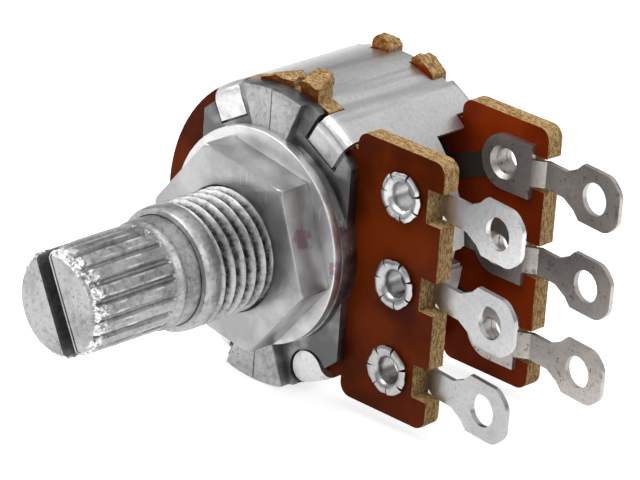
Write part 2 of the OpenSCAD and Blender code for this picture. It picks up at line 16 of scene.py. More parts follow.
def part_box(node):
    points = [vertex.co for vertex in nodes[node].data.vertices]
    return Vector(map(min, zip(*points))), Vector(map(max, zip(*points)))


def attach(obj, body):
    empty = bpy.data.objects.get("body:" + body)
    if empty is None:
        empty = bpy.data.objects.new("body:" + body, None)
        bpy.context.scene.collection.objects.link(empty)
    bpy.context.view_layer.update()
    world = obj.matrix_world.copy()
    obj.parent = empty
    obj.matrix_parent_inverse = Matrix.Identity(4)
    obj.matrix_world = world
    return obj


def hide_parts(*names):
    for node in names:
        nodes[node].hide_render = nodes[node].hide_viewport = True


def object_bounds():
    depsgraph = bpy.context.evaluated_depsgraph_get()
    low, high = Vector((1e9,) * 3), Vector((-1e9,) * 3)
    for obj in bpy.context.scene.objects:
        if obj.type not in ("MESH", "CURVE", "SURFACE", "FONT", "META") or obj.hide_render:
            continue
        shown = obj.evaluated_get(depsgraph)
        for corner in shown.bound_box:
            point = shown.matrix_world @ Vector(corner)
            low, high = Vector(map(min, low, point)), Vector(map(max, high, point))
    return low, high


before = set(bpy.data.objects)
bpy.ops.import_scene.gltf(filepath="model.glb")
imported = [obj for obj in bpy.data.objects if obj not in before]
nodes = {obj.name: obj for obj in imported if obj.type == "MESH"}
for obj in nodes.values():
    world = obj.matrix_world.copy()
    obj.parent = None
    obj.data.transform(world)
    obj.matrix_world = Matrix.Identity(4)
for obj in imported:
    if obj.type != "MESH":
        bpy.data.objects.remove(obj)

MM = 0.001
noise.seed_set(4)  # without a seed, noise_vector would take one from the clock
cad_low, cad_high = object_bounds()
print("solids:", len(nodes), "size in mm:", [round(side / MM, 2) for side in cad_high - cad_low])

# %% [markdown]
# ## The camera
# A long lens from in front and to the right of the shaft, a little above it, and rolled by four degrees.
# The angles, the distance and the lens come from matching known sizes of this kind of part (the 5 mm
# pitch of the lugs, the 6 mm shaft, the 10 mm nut) to where they appear. A camera could also be placed
# by eye, but then the round parts never quite agree with each other.

# %% Place the camera
azimuth = math.radians(42.536)
elevation = math.radians(23.026)
roll = math.radians(4.179)
back = Vector((
    math.sin(azimuth) * math.cos(elevation),
    -math.cos(azimuth) * math.cos(elevation),
    math.sin(elevation),
))
level = Vector((math.cos(azimuth), math.sin(azimuth), 0))
upright = back.cross(level)
right = level * math.cos(roll) + upright * math.sin(roll)
up = upright * math.cos(roll) - level * math.sin(roll)
aim = Vector((0, 3.78, 0)) * MM

lens = bpy.data.cameras.new("camera")
lens.sensor_width = 36
lens.lens = 229.76
lens.clip_start = 0.01
lens.clip_end = 20
camera = bpy.data.objects.new("camera", lens)
turned = Matrix((right, up, back)).transposed().to_4x4()
distance = 221.885 * MM
shift = right * 0.471 * MM - up * 1.09 * MM
camera.matrix_world = Matrix.Translation(aim + back * distance + shift) @ turned
bpy.context.scene.collection.objects.link(camera)
bpy.context.scene.camera = camera
print("camera at, in mm:", [round(x / MM, 1) for x in camera.matrix_world.translation])

# %% [markdown]
# ## Node trees as sums
# A finish is a tree of nodes. Writing each one with its links takes many lines, so a small class wraps
# an output socket, and Python's own + - * then add the Math nodes. Any other node comes from one method.

# %% Wrap a socket
class Wire:
    """An output socket of a material. Sums of wires and numbers become Math nodes."""

    def __init__(self, finish, socket):
        self.finish = finish
        self.socket = socket

    def math(self, operation, other=None, swapped=False):
        pair = [self] if other is None else [self, other]
        if swapped:
            pair.reverse()
        made = self.finish.add("ShaderNodeMath", {"operation": operation}, dict(enumerate(pair)))
        return made[0]

    def __add__(self, other):
        return self.math("ADD", other)

    def __sub__(self, other):
        return self.math("SUBTRACT", other)

    def __mul__(self, other):
        return self.math("MULTIPLY", other)

    def __rsub__(self, other):
        return self.math("SUBTRACT", other, swapped=True)

    __radd__ = __add__
    __rmul__ = __mul__


class Finish:
    """A material and the one method that adds a node to it."""

    def __init__(self, name):
        self.material = bpy.data.materials.new(name)
        self.material.use_nodes = True
        self.tree = self.material.node_tree
        self.tree.nodes.clear()

    def add(self, kind, settings=None, inputs=None):
        made = self.tree.nodes.new(kind)
        for name, value in (settings or {}).items():
            if name == "stops":
                set_stops(made.color_ramp, value)
            else:
                setattr(made, name, value)
        for name, value in (inputs or {}).items():
            if isinstance(value, Wire):
                self.tree.links.new(value.socket, made.inputs[name])
            else:
                made.inputs[name].default_value = value
        return [Wire(self, socket) for socket in made.outputs]


def set_stops(ramp, stops):
    """Sets a ramp's stops from pairs of place and colour."""
    while len(ramp.elements) < len(stops):
        ramp.elements.new(0.5)
    for element, (place, colour) in zip(ramp.elements, stops):
        element.position = place
        element.color = (*colour, 1)


print("wires and finishes ready")

# %% [markdown]
# ## Words for surfaces
# Every finish here is made from the same few things: where on the piece a point is, clouds of noise of a
# stated size, a soft step that turns a cloud into patches, and a blend of two colours. They read the
# Object coordinates, so the pattern stays on the piece when the shaft turns.

# %% Name the building blocks
def place(finish, centre=(0, 0, 0), turn=(0, 0, 0), stretch=(1, 1, 1)):
    """Object coordinates, moved to a centre, turned and stretched."""
    coordinates = finish.add("ShaderNodeTexCoord")[3]
    moved = finish.add("ShaderNodeVectorMath", {"operation": "SUBTRACT"}, {0: coordinates, 1: centre})[0]
    return finish.add("ShaderNodeMapping", {"vector_type": "POINT"},
                      {"Vector": moved, "Rotation": turn, "Scale": stretch})[0]


def cloud(finish, where, size_mm, detail=3.0, roughness=0.55):
    """Noise from 0 to 1, with blobs of about the stated size."""
    inputs = {"Vector": where, "Scale": 1 / (size_mm * MM), "Detail": detail, "Roughness": roughness}
    return finish.add("ShaderNodeTexNoise", {"noise_dimensions": "3D"}, inputs)[0]


def cells(finish, where, size_mm):
    """Distance to the nearest of many scattered points, in cells."""
    return finish.add("ShaderNodeTexVoronoi", {"feature": "F1"},
                      {"Vector": where, "Scale": 1 / (size_mm * MM), "Randomness": 1.0})[0]


def step(value, low, high):
    """A soft step: 0 below low, 1 above high. With low above high it falls instead."""
    return value.finish.add("ShaderNodeMapRange", {"interpolation_type": "SMOOTHSTEP"},
                            {"Value": value, "From Min": low, "From Max": high})[0]


def axes(finish, where):
    """The three parts of a place."""
    return finish.add("ShaderNodeSeparateXYZ", None, {0: where})


def blend(share, first, second):
    """The first colour where the share is 0, the second where it is 1."""
    return share.finish.add("ShaderNodeMix", {"data_type": "RGBA", "blend_type": "MIX"},
                            {0: share, 6: rgba(first), 7: rgba(second)})[2]


def rgba(colour):
    """A colour given as three parts gets its fourth. A wire is left as it is."""
    return colour if isinstance(colour, Wire) else (*colour, 1)


def grey(value):
    """A number as a plain colour."""
    return (value, value, value)


def relief(finish, height, depth_mm, normal=None):
    """A Bump node: where height goes from 0 to 1, the surface rises by the depth."""
    inputs = {"Height": height, "Distance": depth_mm * MM, "Strength": 1.0}
    if normal is not None:
        inputs["Normal"] = normal
    return finish.add("ShaderNodeBump", None, inputs)[0]


def surface(finish, colour, roughness, normal=None, metal=1.0, **fixed):
    """Closes a finish with one Principled shader."""
    inputs = {"Base Color": rgba(colour), "Roughness": roughness, "Metallic": metal}
    if normal is not None:
        inputs["Normal"] = normal
    shader = finish.add("ShaderNodeBsdfPrincipled", None, {**inputs, **fixed})[0]
    finish.add("ShaderNodeOutputMaterial", None, {0: shader})
    return finish.material


def wear(finish, *names):
    """Puts a finish on CAD nodes."""
    for name in names:
        slots = nodes[name].data.materials
        slots.clear()
        slots.append(finish)
    print(finish.name, "on", ", ".join(names))


# %% [markdown]
# ## Tools for the shapes
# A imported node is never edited. To change what is seen, its mesh is copied, its doubles are merged, and the
# copy then stands for the node. These helpers make such a copy, cut it into finer faces where it will be
# roughened, round its sharp edges, and hand the finished piece over with its body and its finish.

# %% Copy, cut, round and hand over
def copy_of(name):
    """A copy of a CAD node's mesh, merged, with its flat faces joined again."""
    shape = bmesh.new()
    shape.from_mesh(nodes[name].data)
    bmesh.ops.remove_doubles(shape, verts=shape.verts, dist=0.001 * MM)
    bmesh.ops.dissolve_limit(shape, angle_limit=math.radians(0.5), verts=shape.verts, edges=shape.edges)
    return shape


def slice_up(shape, axis, low_mm, high_mm, count):
    """Cuts the whole shape by evenly spaced planes across one axis."""
    for index in range(count + 1):
        spot = [0, 0, 0]
        spot[axis] = (low_mm + (high_mm - low_mm) * index / count) * MM
        way = [0, 0, 0]
        way[axis] = 1
        every = shape.verts[:] + shape.edges[:] + shape.faces[:]
        bmesh.ops.bisect_plane(shape, geom=every, dist=0.0002 * MM, plane_co=spot, plane_no=way)


def round_edges(shape, width_mm, degrees=40, segments=2, wanted=None):
    """Bevels the edges that are sharper than the angle."""
    sharp = [
        edge for edge in shape.edges
        if len(edge.link_faces) == 2 and edge.calc_face_angle() > math.radians(degrees)
        and (wanted is None or wanted((edge.verts[0].co + edge.verts[1].co) / (2 * MM)))
    ]
    bmesh.ops.bevel(shape, geom=sharp, offset=width_mm * MM, offset_type="OFFSET", segments=segments,
                    profile=0.5, affect="EDGES", clamp_overlap=True, material=-1)


def lathe(shape, points_mm, centre_mm=(0, 0, 0), steps=96, sweep=360, from_degrees=0):
    """Turns a closed outline, given as radius and y, round an axis along Y."""
    start = Matrix.Translation(Vector(centre_mm) * MM) @ Matrix.Rotation(math.radians(from_degrees), 4, "Y")
    corners = [shape.verts.new(start @ (Vector((r, y, 0)) * MM)) for r, y in points_mm]
    outline = shape.faces.new(corners)
    full = sweep == 360
    geom = [outline] + corners + outline.edges[:]
    bmesh.ops.spin(shape, geom=geom, cent=Vector(centre_mm) * MM, axis=(0, 1, 0), use_merge=full,
                   angle=math.radians(sweep), steps=steps)
    if full:
        bmesh.ops.delete(shape, geom=[outline], context="FACES_ONLY")


def hand_over(shape, name, body, finish, stands_for=(), smooth=35):
    """Makes a bmesh a finished piece, shaded smooth up to an angle, that rides on a body."""
    bmesh.ops.recalc_face_normals(shape, faces=shape.faces)
    for face in shape.faces:
        face.smooth = True
    for edge in shape.edges:
        edge.smooth = len(edge.link_faces) == 2 and edge.calc_face_angle() < math.radians(smooth)
    mesh = bpy.data.meshes.new(name)
    shape.to_mesh(mesh)
    shape.free()
    made = bpy.data.objects.new(name, mesh)
    bpy.context.scene.collection.objects.link(made)
    mesh.materials.append(finish)
    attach(made, body)
    if stands_for:
        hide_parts(*stands_for)
    print(name, "has", len(mesh.polygons), "faces")


def rise(value, low, high):
    """A soft step for plain numbers."""
    share = min(1, max(0, (value - low) / (high - low)))
    return share * share * (3 - 2 * share)


# %% [markdown]
# ## Die-cast zinc
# The shaft and the front plate are cast zinc, tumbled and handled: a grey metal with soft lighter and
# darker patches, small pits, and fine scratches that catch the light. Clouds of three sizes give the
# tone, stretched clouds give the scratches, and a bump of the same clouds makes the small glints.

# %% Zinc finish
def cast_zinc(name, tone, scratch_turn, valley, flakes=None, recess=None):
    """Bare zinc, with painted shade in valleys and, if wanted, bright flakes, a painted highlight on the
    knurl's crests and painted shade in recesses.

    A valley is its low and high radius, its front and rear y, all in mm, and how dark its painted shade gets.
    Flakes lie from a first y to a last y. A recess is every face behind its y, outside the hub, darkened as
    painted shade.
    """
    finish = Finish(name)
    where = place(finish)
    broad = cloud(finish, where, 2.2, 2)
    fine = cloud(finish, where, 0.3, 4, 0.65)
    grains = cloud(finish, where, 0.12, 2, 0.6)
    pits = step(cells(finish, where, 0.45), 0.16, 0.05) * step(cloud(finish, where, 1.1), 0.5, 0.62)
    along = place(finish, turn=scratch_turn, stretch=(1, 0.06, 1))
    lines = step(cloud(finish, along, 0.12, 2, 0.7), 0.6, 0.74)
    tone_here = blend(step(broad, 0.35, 0.65), grey(tone * 0.72), grey(tone * 1.1))
    tone_here = blend(step(fine, 0.42, 0.7) * 0.4, tone_here, grey(min(1, tone * 1.5)))
    tone_here = blend(step(fine, 0.46, 0.34) * 0.5, tone_here, grey(tone * 0.35))
    tone_here = blend(pits * 0.75, tone_here, grey(tone * 0.15))
    tone_here = blend(lines * 0.5, tone_here, grey(min(1, tone * 1.7)))
    x, y, z = axes(finish, finish.add("ShaderNodeTexCoord")[3])
    radius = (x * x + z * z).math("SQRT")
    low, high, front, rear = (part * MM for part in valley[:4])
    along_axis = step(y, rear, rear - 0.1 * MM) * step(y, front, front + 0.1 * MM)
    # Painted shade: the knurl's grooves and the thread's roots are darkened towards the valley's tone.
    painted_valley_shade = step(radius, high, low) * along_axis * (0.65 + 0.35 * step(fine, 0.6, 0.4))
    tone_here = blend(painted_valley_shade, tone_here, grey(tone * valley[4]))
    if recess:
        # Painted shade: faces behind the plate's front, outside the hub, are darkened.
        sunk = step(y, recess * MM, (recess + 0.08) * MM) * step(radius, 4.6 * MM, 4.8 * MM)
        tone_here = blend(sunk * (0.5 + 0.5 * step(broad, 0.6, 0.4)), tone_here, grey(tone * 0.3))
    height = fine * 0.5 + broad * 0.9 + grains * 0.18 - pits * 0.6 + lines * 0.12
    rough = 0.26 + broad * 0.16 + fine * 0.14 - lines * 0.1
    if flakes:
        start, end = (part * MM for part in flakes)
        torn = step(y, start, start + 0.08 * MM) * step(y, end, start + 0.5 * MM)
        torn = torn * step(radius, 2.7 * MM, 2.8 * MM) * step(cloud(finish, where, 0.22, 2), 0.42, 0.56)
        tone_here = blend(torn * 0.9, tone_here, grey(0.95))
        # Painted highlight: the tops of the knurl's teeth and burrs are lightened.
        painted_crest_highlight = step(radius, 2.885 * MM, 2.915 * MM) * along_axis
        painted_crest_highlight = painted_crest_highlight * step(cloud(finish, where, 0.9, 2), 0.4, 0.55)
        tone_here = blend(painted_crest_highlight * 0.85, tone_here, grey(0.9))
    return surface(finish, tone_here, rough, relief(finish, height, 0.05))


zinc_shaft = cast_zinc("zinc_shaft", 0.39, (0, 0, 0), (2.6, 2.84, -14.85, -9, 0.6), flakes=(-14.95, -13.6))
zinc_plate = cast_zinc("zinc_plate", 0.42, (0.3, 0, 0.5), (3.1, 3.36, -7.3, -0.5, 0.1), recess=0.05)

# %% [markdown]
# ## Knurled end
# Eighteen flat-topped teeth run along the shaft, with narrow grooves between them. They look pressed or
# rolled in, since their front ends are torn into small bright flakes. One function gives the radius at
# each angle and place along the shaft, so teeth, flakes, burrs and dome need no modelling of their own.

# %% The knurl's radius
tip_y = -14.98
tip_face_r = 2.62
knurl_rear = -9.15
join_y = -8.45
join_r = 2.97
shaft_r = 3.0
tooth_r = 2.88
dome_r = 2.86
teeth = 18
groove_deep = 0.21
burr_high = 0.05
flake_high = 0.32


def knurl_radius(angle, y):
    """Radius of the shaft's end at an angle and a place along it, in mm."""
    from_tip = y - tip_y
    turn = angle * teeth / (2 * math.pi)
    across = abs((turn % 1) - 0.5) * 2
    tooth = math.floor(turn)
    start = 0.16 + 0.3 * abs(noise.noise((tooth * 3.7, 1.3, 0)))
    stop = knurl_rear + 0.12 * noise.noise((tooth * 2.9, 7.7, 0))
    groove = rise(across, 0.55, 0.9) * rise(from_tip, start, start + 0.12) * rise(stop - y, 0, 0.14)
    flake = noise.noise((angle * 12, from_tip * 2.2, 4.1))
    flake += 0.7 * noise.noise((angle * 30, from_tip * 4, 9.3))
    torn = max(0, flake) * rise(1.5 - from_tip, 0, 1.2) * rise(from_tip, 0.05, 0.3)
    dome = dome_r - 0.2 * (1 - rise(from_tip, 0, 0.32))
    widened = rise(y, knurl_rear + 0.05, knurl_rear + 0.5)
    collar = shaft_r * widened + tooth_r * (1 - widened)
    radius = min(dome + 0.02, collar) if from_tip < 1 else collar
    around = Vector((math.cos(angle) * 4, math.sin(angle) * 4, y))
    chatter = noise.noise(around / 0.6) * 0.012 + noise.noise(around / 0.2) * 0.008
    sunk = 0.06 * rise(1.4 - from_tip, 0, 1.2)
    burr = rise(across, 0.36, 0.48) * (1 - rise(across, 0.52, 0.62)) * rise(stop - y, 0, 0.3)
    radius += burr_high * burr * rise(noise.noise((tooth * 5.1, y * 0.5, 2.2)), -0.3, 0.3)
    flakes = torn * flake_high * (1 - 0.3 * groove)
    return min(shaft_r, radius - groove * groove_deep + flakes - sunk + chatter)


print("knurl radius in mm, over a groove:", [round(knurl_radius(index * 0.04, -11), 2) for index in range(9)])

# %% [markdown]
# ## Shaft
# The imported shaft's front is cut away and a finely divided tube is drawn out in its place, ring by ring,
# each point set by the radius above. A box is then taken out of the tip for the screwdriver slot, and a
# thin one beside it leaves the burr that the slot's cutter raised. The slot is the one place where a
# Boolean is simpler than placing faces, since it crosses every ring.

# %% Draw the end, cut the slot
ring_points = teeth * 14
slot_turn = math.radians(-27)


def ring_on(shape, loop, y, radius_at):
    """Draws a ring of edges on to y, each point at the radius for its angle. Gives the new ring."""
    made = bmesh.ops.extrude_edge_only(shape, edges=loop)["geom"]
    fresh = {item for item in made if isinstance(item, bmesh.types.BMVert)}
    for vert in fresh:
        angle = math.atan2(vert.co.z, vert.co.x)
        radius = radius_at(angle)
        vert.co = Vector((radius * math.cos(angle), y, radius * math.sin(angle))) * MM
    return [item for item in made if isinstance(item, bmesh.types.BMEdge) and fresh.issuperset(item.verts)]


def box_cut(shape, side_mm, wide_mm, deep_mm):
    """A box across the tip, turned to the slot's angle, off the middle by side_mm."""
    size = Matrix.Diagonal((wide_mm * MM, 2 * deep_mm * MM, 8 * MM, 1))
    spot = Matrix.Translation((side_mm * MM, -15 * MM, 0))
    bmesh.ops.create_cube(shape, size=1, matrix=Matrix.Rotation(slot_turn, 4, "Y") @ spot @ size)


def loose(name, shape):
    """An object made from a bmesh, for a modifier to use."""
    mesh = bpy.data.meshes.new(name)
    shape.to_mesh(mesh)
    shape.free()
    made = bpy.data.objects.new(name, mesh)
    bpy.context.scene.collection.objects.link(made)
    return made


end = bmesh.new()
facing = Matrix.Translation((0, tip_y * MM, 0)) @ Matrix.Rotation(math.radians(90), 4, "X")
bmesh.ops.create_circle(end, cap_ends=False, segments=ring_points, radius=tip_face_r * MM, matrix=facing)
tip_ring = end.edges[:]
stations = [tip_y + 0.06 * index for index in range(1, 34)]
stations += [stations[-1] + 0.25 * index for index in range(1, 14)]
stations += [knurl_rear + 0.05 * index for index in range(-5, 11)]
loop = tip_ring
for y in sorted(stations):
    loop = ring_on(end, loop, y, lambda angle: knurl_radius(angle, y))
loop = ring_on(end, loop, join_y, lambda angle: join_r)
bmesh.ops.contextual_create(end, geom=loop)
loop = tip_ring
for radius, y in [(2.45, -14.99), (1.6, -14.995), (0.8, -15.0), (0.25, -15.0)]:
    loop = ring_on(end, loop, y, lambda angle: radius)
bmesh.ops.contextual_create(end, geom=loop)
bmesh.ops.recalc_face_normals(end, faces=end.faces)

cutting = bmesh.new()
box_cut(cutting, 0, 1.0, 1.5)
box_cut(cutting, 0.66, 0.1, 0.15)
blank = loose("blank", end)
cutter = loose("cutter", cutting)
taking = blank.modifiers.new("slot", "BOOLEAN")
taking.object = cutter
taking.operation = "DIFFERENCE"
taking.solver = "EXACT"
bpy.context.view_layer.update()
slotted = bpy.data.meshes.new_from_object(blank.evaluated_get(bpy.context.evaluated_depsgraph_get()))
for item in (cutter, blank):
    bpy.data.objects.remove(item)

shaft = copy_of("shaft")
every = shaft.verts[:] + shaft.edges[:] + shaft.faces[:]
bmesh.ops.bisect_plane(shaft, geom=every, dist=0.0002 * MM, plane_co=(0, (join_y - 0.05) * MM, 0),
                       plane_no=(0, -1, 0), clear_outer=True)
bmesh.ops.contextual_create(shaft, geom=[edge for edge in shaft.edges if edge.is_boundary])
shaft.from_mesh(slotted)
hand_over(shaft, "knurled_shaft", "rotor", zinc_shaft, ["shaft"], smooth=32)

# %% [markdown]
# ## Threaded bushing
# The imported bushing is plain. The real one has a 0.75 mm thread that starts behind a blunt ring. The
# thread could be a bump, but its crests make the outline, so it is a ridge, spun round the axis with a
# little travel at each step. The copy's wall is first drawn in to the thread's root.

# %% Cut the thread
pitch = 0.75
root_r = 3.04
crest_r = 3.42
lip_r = 3.05
ring_r = 3.27
ring_rear = -6.42
thread_from = -6.9
thread_turns = 7
steps_a_turn = 72

bushing = copy_of("bushing_plate")
for vert in bushing.verts:
    radius = math.hypot(vert.co.x, vert.co.z) / MM
    y = vert.co.y / MM
    if y < -1 and 3.25 < radius < 3.6:
        wanted_r = root_r if y > -7.4 else ring_r
        vert.co.x *= wanted_r / radius
        vert.co.z *= wanted_r / radius
        if -7.4 < y < -7:
            vert.co.y = -6.3 * MM
    elif y < -7.45 and radius < 3.25:
        vert.co.x *= lip_r / radius
        vert.co.z *= lip_r / radius
round_edges(bushing, 0.1, wanted=lambda spot: spot.y > -0.1 and math.hypot(spot.x, spot.z) > 4)

lathe(bushing, [
    (lip_r, -7.5), (3.32, -7.48), (3.39, -7.36), (3.43, -7.0), (3.43, ring_rear - 0.06), (3.39, ring_rear),
    (root_r - 0.02, ring_rear + 0.24), (2.9, -6.4), (2.9, -7.0),
], steps=120)

known = set(bushing.verts)
ridge = [bushing.verts.new(Vector((r, thread_from + y, 0)) * MM) for r, y in [
    (root_r - 0.08, -0.32), (root_r + 0.02, -0.27), (crest_r - 0.03, -0.05), (crest_r, -0.01),
    (crest_r, 0.02),
    (crest_r - 0.03, 0.06), (root_r + 0.02, 0.27), (root_r - 0.08, 0.32),
]]
ridge_start = bushing.faces.new(ridge)
bmesh.ops.spin(
    bushing, geom=[ridge_start] + ridge + ridge_start.edges[:], cent=(0, 0, 0), axis=(0, 1, 0),
    dvec=(0, pitch * MM / steps_a_turn, 0), angle=2 * math.pi * thread_turns,
    steps=steps_a_turn * thread_turns)
for vert in set(bushing.verts) - known:
    radius = math.hypot(vert.co.x, vert.co.z) / MM
    if radius > root_r:
        bruise = noise.noise(vert.co / (0.5 * MM)) * 0.02 + noise.noise(vert.co / (0.16 * MM)) * 0.015
        share = 1 + bruise / radius
        vert.co.x *= share
        vert.co.z *= share
hand_over(bushing, "threaded_bushing", "housing", zinc_plate, ["bushing_plate"])

# %% [markdown]
# ## Nickel plate
# Nut and washer are plated steel: smoother than the casting, with a fine grain, a few scuffs, and a
# purple smudge on each where it was marked. The washer's copy is lighter than the nut's, as painted light.

# %% Nickel finish
def nickel(name, tone, smudge, smudge_mm):
    """Nickel with one purple smudge, at a place in mm and of a size."""
    finish = Finish(name)
    where = place(finish)
    away = place(finish, centre=tuple(part * MM for part in smudge))
    far = finish.add("ShaderNodeVectorMath", {"operation": "LENGTH"}, {0: away})[1]
    stain = step(far + (cloud(finish, where, 0.4, 3) - 0.5) * 1.6 * MM, smudge_mm * MM, smudge_mm * 0.5 * MM)
    broad = cloud(finish, where, 1.8, 3)
    fine = cloud(finish, where, 0.14, 3, 0.6)
    scuffs = step(cloud(finish, place(finish, turn=(0, 0.6, 0.2), stretch=(1, 1, 0.08)), 0.15, 2), 0.66, 0.76)
    tone_here = blend(step(broad, 0.35, 0.65), grey(tone * 0.76), grey(min(1, tone * 1.08)))
    tone_here = blend(fine * 0.3, tone_here, grey(tone * 0.65))
    tone_here = blend(scuffs * 0.5, tone_here, grey(min(1, tone * 1.5)))
    tone_here = blend(stain * 0.6, tone_here, (tone * 0.5, tone * 0.22, tone * 0.42))
    rough = 0.28 + fine * 0.14 + broad * 0.06
    return surface(finish, tone_here, rough, relief(finish, fine * 0.5 + broad + scuffs * 0.1, 0.025))


nickel_plate = nickel("nickel", 0.47, (4.75, -1.8, 1.93), 0.75)
# Painted light: the washer's nickel is a lighter copy of the nut's.
nickel_washer_painted_lighter = nickel("nickel_washer_painted_lighter", 0.7, (6.1, -0.2, 0.1), 0.8)

# %% [markdown]
# ## Nut and washer
# Both are stamped or cut with sharp corners that the plating has rounded a little. A narrow bevel along
# every sharp edge catches a bright line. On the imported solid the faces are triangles, so the bevel is cut
# on merged copies. The nut's mouth is drawn in to the thread, which hardly leaves a gap there.

# %% Round the nut and the washer
mouth_r = 3.5
nut = copy_of("hex_nut")
for vert in nut.verts:
    radius = math.hypot(vert.co.x, vert.co.z) / MM
    if mouth_r < radius < 4.2:
        vert.co.x *= mouth_r / radius
        vert.co.z *= mouth_r / radius
round_edges(nut, 0.13, degrees=25, segments=2)
hand_over(nut, "nickel_nut", "housing", nickel_plate, ["hex_nut"], smooth=28)
ring = copy_of("washer")
round_edges(ring, 0.07, degrees=50, segments=3)
hand_over(ring, "flat_washer", "housing", nickel_washer_painted_lighter, ["washer"], smooth=50)

# %% [markdown]
# ## Tin plate
# The case is thin sheet steel with a satin tin coat, and the lugs are tinned brass. Tin takes soft broad
# streaks and stays pale. Each front lug gets its own tone of it, as painted light and shade. The rear lugs
# have dulled to a brownish grey with dark specks.

# %% Tin finish
def tin(name, light, dark, rough, speck, bands=0):
    """Satin tin. Specks and bands are the shares by which spots, and streaks along the shaft, show."""
    finish = Finish(name)
    where = place(finish)
    broad = cloud(finish, where, 3.5, 2)
    fine = cloud(finish, where, 0.2, 4, 0.6)
    specks = step(cells(finish, where, 0.35), 0.22, 0.08) * step(cloud(finish, where, 0.8), 0.46, 0.58)
    colour = blend(step(broad, 0.3, 0.7), dark, light)
    shade = tuple(part * 0.6 for part in dark)
    colour = blend(step(fine, 0.42, 0.7) * 0.3, colour, shade)
    streaks = cloud(finish, place(finish, stretch=(1, 0.07, 1)), 1.5, 2)
    colour = blend(step(streaks, 0.5, 0.66) * bands, colour, shade)
    colour = blend(specks * speck, colour, tuple(part * 0.15 for part in dark))
    soot = step(cloud(finish, where, 0.5, 4, 0.7), 0.56, 0.7)
    colour = blend(soot * speck * 0.7, colour, tuple(part * 0.3 for part in dark))
    height = fine * 0.5 + broad * 0.8 - specks * speck * 0.6
    return surface(finish, colour, rough + fine * 0.15, relief(finish, height, 0.025))


wear(tin("tin_case", grey(0.76), grey(0.66), 0.27, 0.1, bands=0.7), "case_shell")
# Painted light and shade: each front lug gets its own tone of the same tin.
front_lug_painted_light_tones = (0.76, 0.58, 0.5)
tin_front_painted_light = [tin(f"tin_front_painted_light_{tone}", grey(tone), grey(tone * 0.82), 0.24, 0.25) for tone in front_lug_painted_light_tones]
tin_dull = tin("tin_dull", (0.58, 0.54, 0.51), (0.4, 0.37, 0.35), 0.34, 1.0)

# %% [markdown]
# ## Split eyelets
# Each lug is riveted by its own drawn tube, which splits into petals as the tool flares it over the
# board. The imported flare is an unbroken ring. Here it is cut off a copy of the lug, and seven petals
# take its place: each one a part of a turn of the same curved wall, with the gaps opening outwards and
# a ragged rim. Turning one whole ring and cutting slits would need as much work and leave flat cuts.
# The outer corners of the lug's blade are rounded, as a worn punch leaves them.

# %% Flare the petals
def flare_petals(shape, centre_mm, base_y, outwards, seed):
    """Petals round an eyelet that comes through a board at base_y and opens towards outwards."""
    wall = [
        (0.70, 0.30), (0.715, 0.0), (0.78, -0.14), (0.92, -0.25), (1.12, -0.31), (1.28, -0.30),
        (1.40, -0.22), (1.39, -0.12), (1.26, -0.19), (1.10, -0.2), (1.0, -0.1), (0.97, 0.0), (0.96, 0.30),
    ]
    shares = [1 + 0.35 * noise.noise((seed * 3.1, index * 1.7, 0.3)) for index in range(7)]
    angle = 360 * noise.noise((seed * 1.3, 0.2, 5.1))
    for index, share in enumerate(shares):
        sweep = 360 * share / sum(shares)
        known = set(shape.verts)
        outline = [(r, base_y - outwards * y) for r, y in wall]
        lathe(shape, outline, centre_mm, steps=14, sweep=sweep, from_degrees=angle)
        middle = math.radians(angle + sweep / 2)
        tilt = 0.05 * noise.noise((seed, index * 2.3, 1.9))
        for vert in set(shape.verts) - known:
            away = vert.co / MM - Vector(centre_mm)
            radius = math.hypot(away.x, away.z)
            bearing = math.atan2(-away.z, away.x)
            offset = (bearing - middle + math.pi) % (2 * math.pi) - math.pi
            open_share = rise(radius, 0.74, 1.4)
            offset *= 1 - open_share * 0.12
            ragged = noise.noise((seed * 7 + radius * 0.4, offset * 3.5 + index * 5, 2.7))
            radius += open_share * (0.09 * ragged - 0.04 + tilt * 1.5)
            lift = open_share * (tilt + 0.06 * noise.noise((index * 3.3, offset * 2, seed)))
            vert.co.x = (centre_mm[0] + radius * math.cos(middle + offset)) * MM
            vert.co.z = (centre_mm[2] - radius * math.sin(middle + offset)) * MM
            vert.co.y += lift * MM
        angle += sweep


def soften_lug(shape):
    """Rounds the corners of the lug's blade."""
    corners = []
    for edge in shape.edges:
        first, second = (vert.co / MM for vert in edge.verts)
        across = abs(first.x - second.x) < 0.01 and abs(first.z - second.z) < 0.01
        if across and min(first.x, second.x) > 15 and len(edge.link_faces) == 2:
            if edge.calc_face_angle() > math.radians(25):
                corners.append(edge)
    print("corners to round:", len(corners))
    bmesh.ops.bevel(shape, geom=corners, offset=0.38 * MM, offset_type="OFFSET", segments=4, profile=0.5,
                    affect="EDGES", clamp_overlap=False, material=-1)


def eyelet_lug(node, board_mm, outwards, finish, seed):
    """A copy of a lug with its flare cut off at the board's far face and petals in its place."""
    box_low, box_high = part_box(node)
    height = (box_low[2] + box_high[2]) / 2 / MM
    shape = copy_of(node)
    soften_lug(shape)
    tube = [vert for vert in shape.verts if math.hypot(vert.co.x / MM - 8.75, vert.co.z / MM - height) < 1.5]
    inside = set(tube)
    edges = [edge for edge in shape.edges if inside.issuperset(edge.verts)]
    every = tube + edges + [face for face in shape.faces if inside.issuperset(face.verts)]
    cut_y = board_mm - outwards * 0.12
    bmesh.ops.bisect_plane(shape, geom=every, dist=0.0002 * MM, plane_co=(0, cut_y * MM, 0),
                           plane_no=(0, outwards, 0), clear_outer=True)
    flare_petals(shape, (8.75, 0, height), board_mm, outwards, seed)
    hand_over(shape, node.replace("terminal", "lug"), "housing", finish, [node])


for index in (1, 2, 3):
    eyelet_lug(f"front_terminal_{index}", 1.2, -1, tin_front_painted_light[index - 1], index)
    eyelet_lug(f"rear_terminal_{index}", 10.45, 1, tin_dull, index + 5)
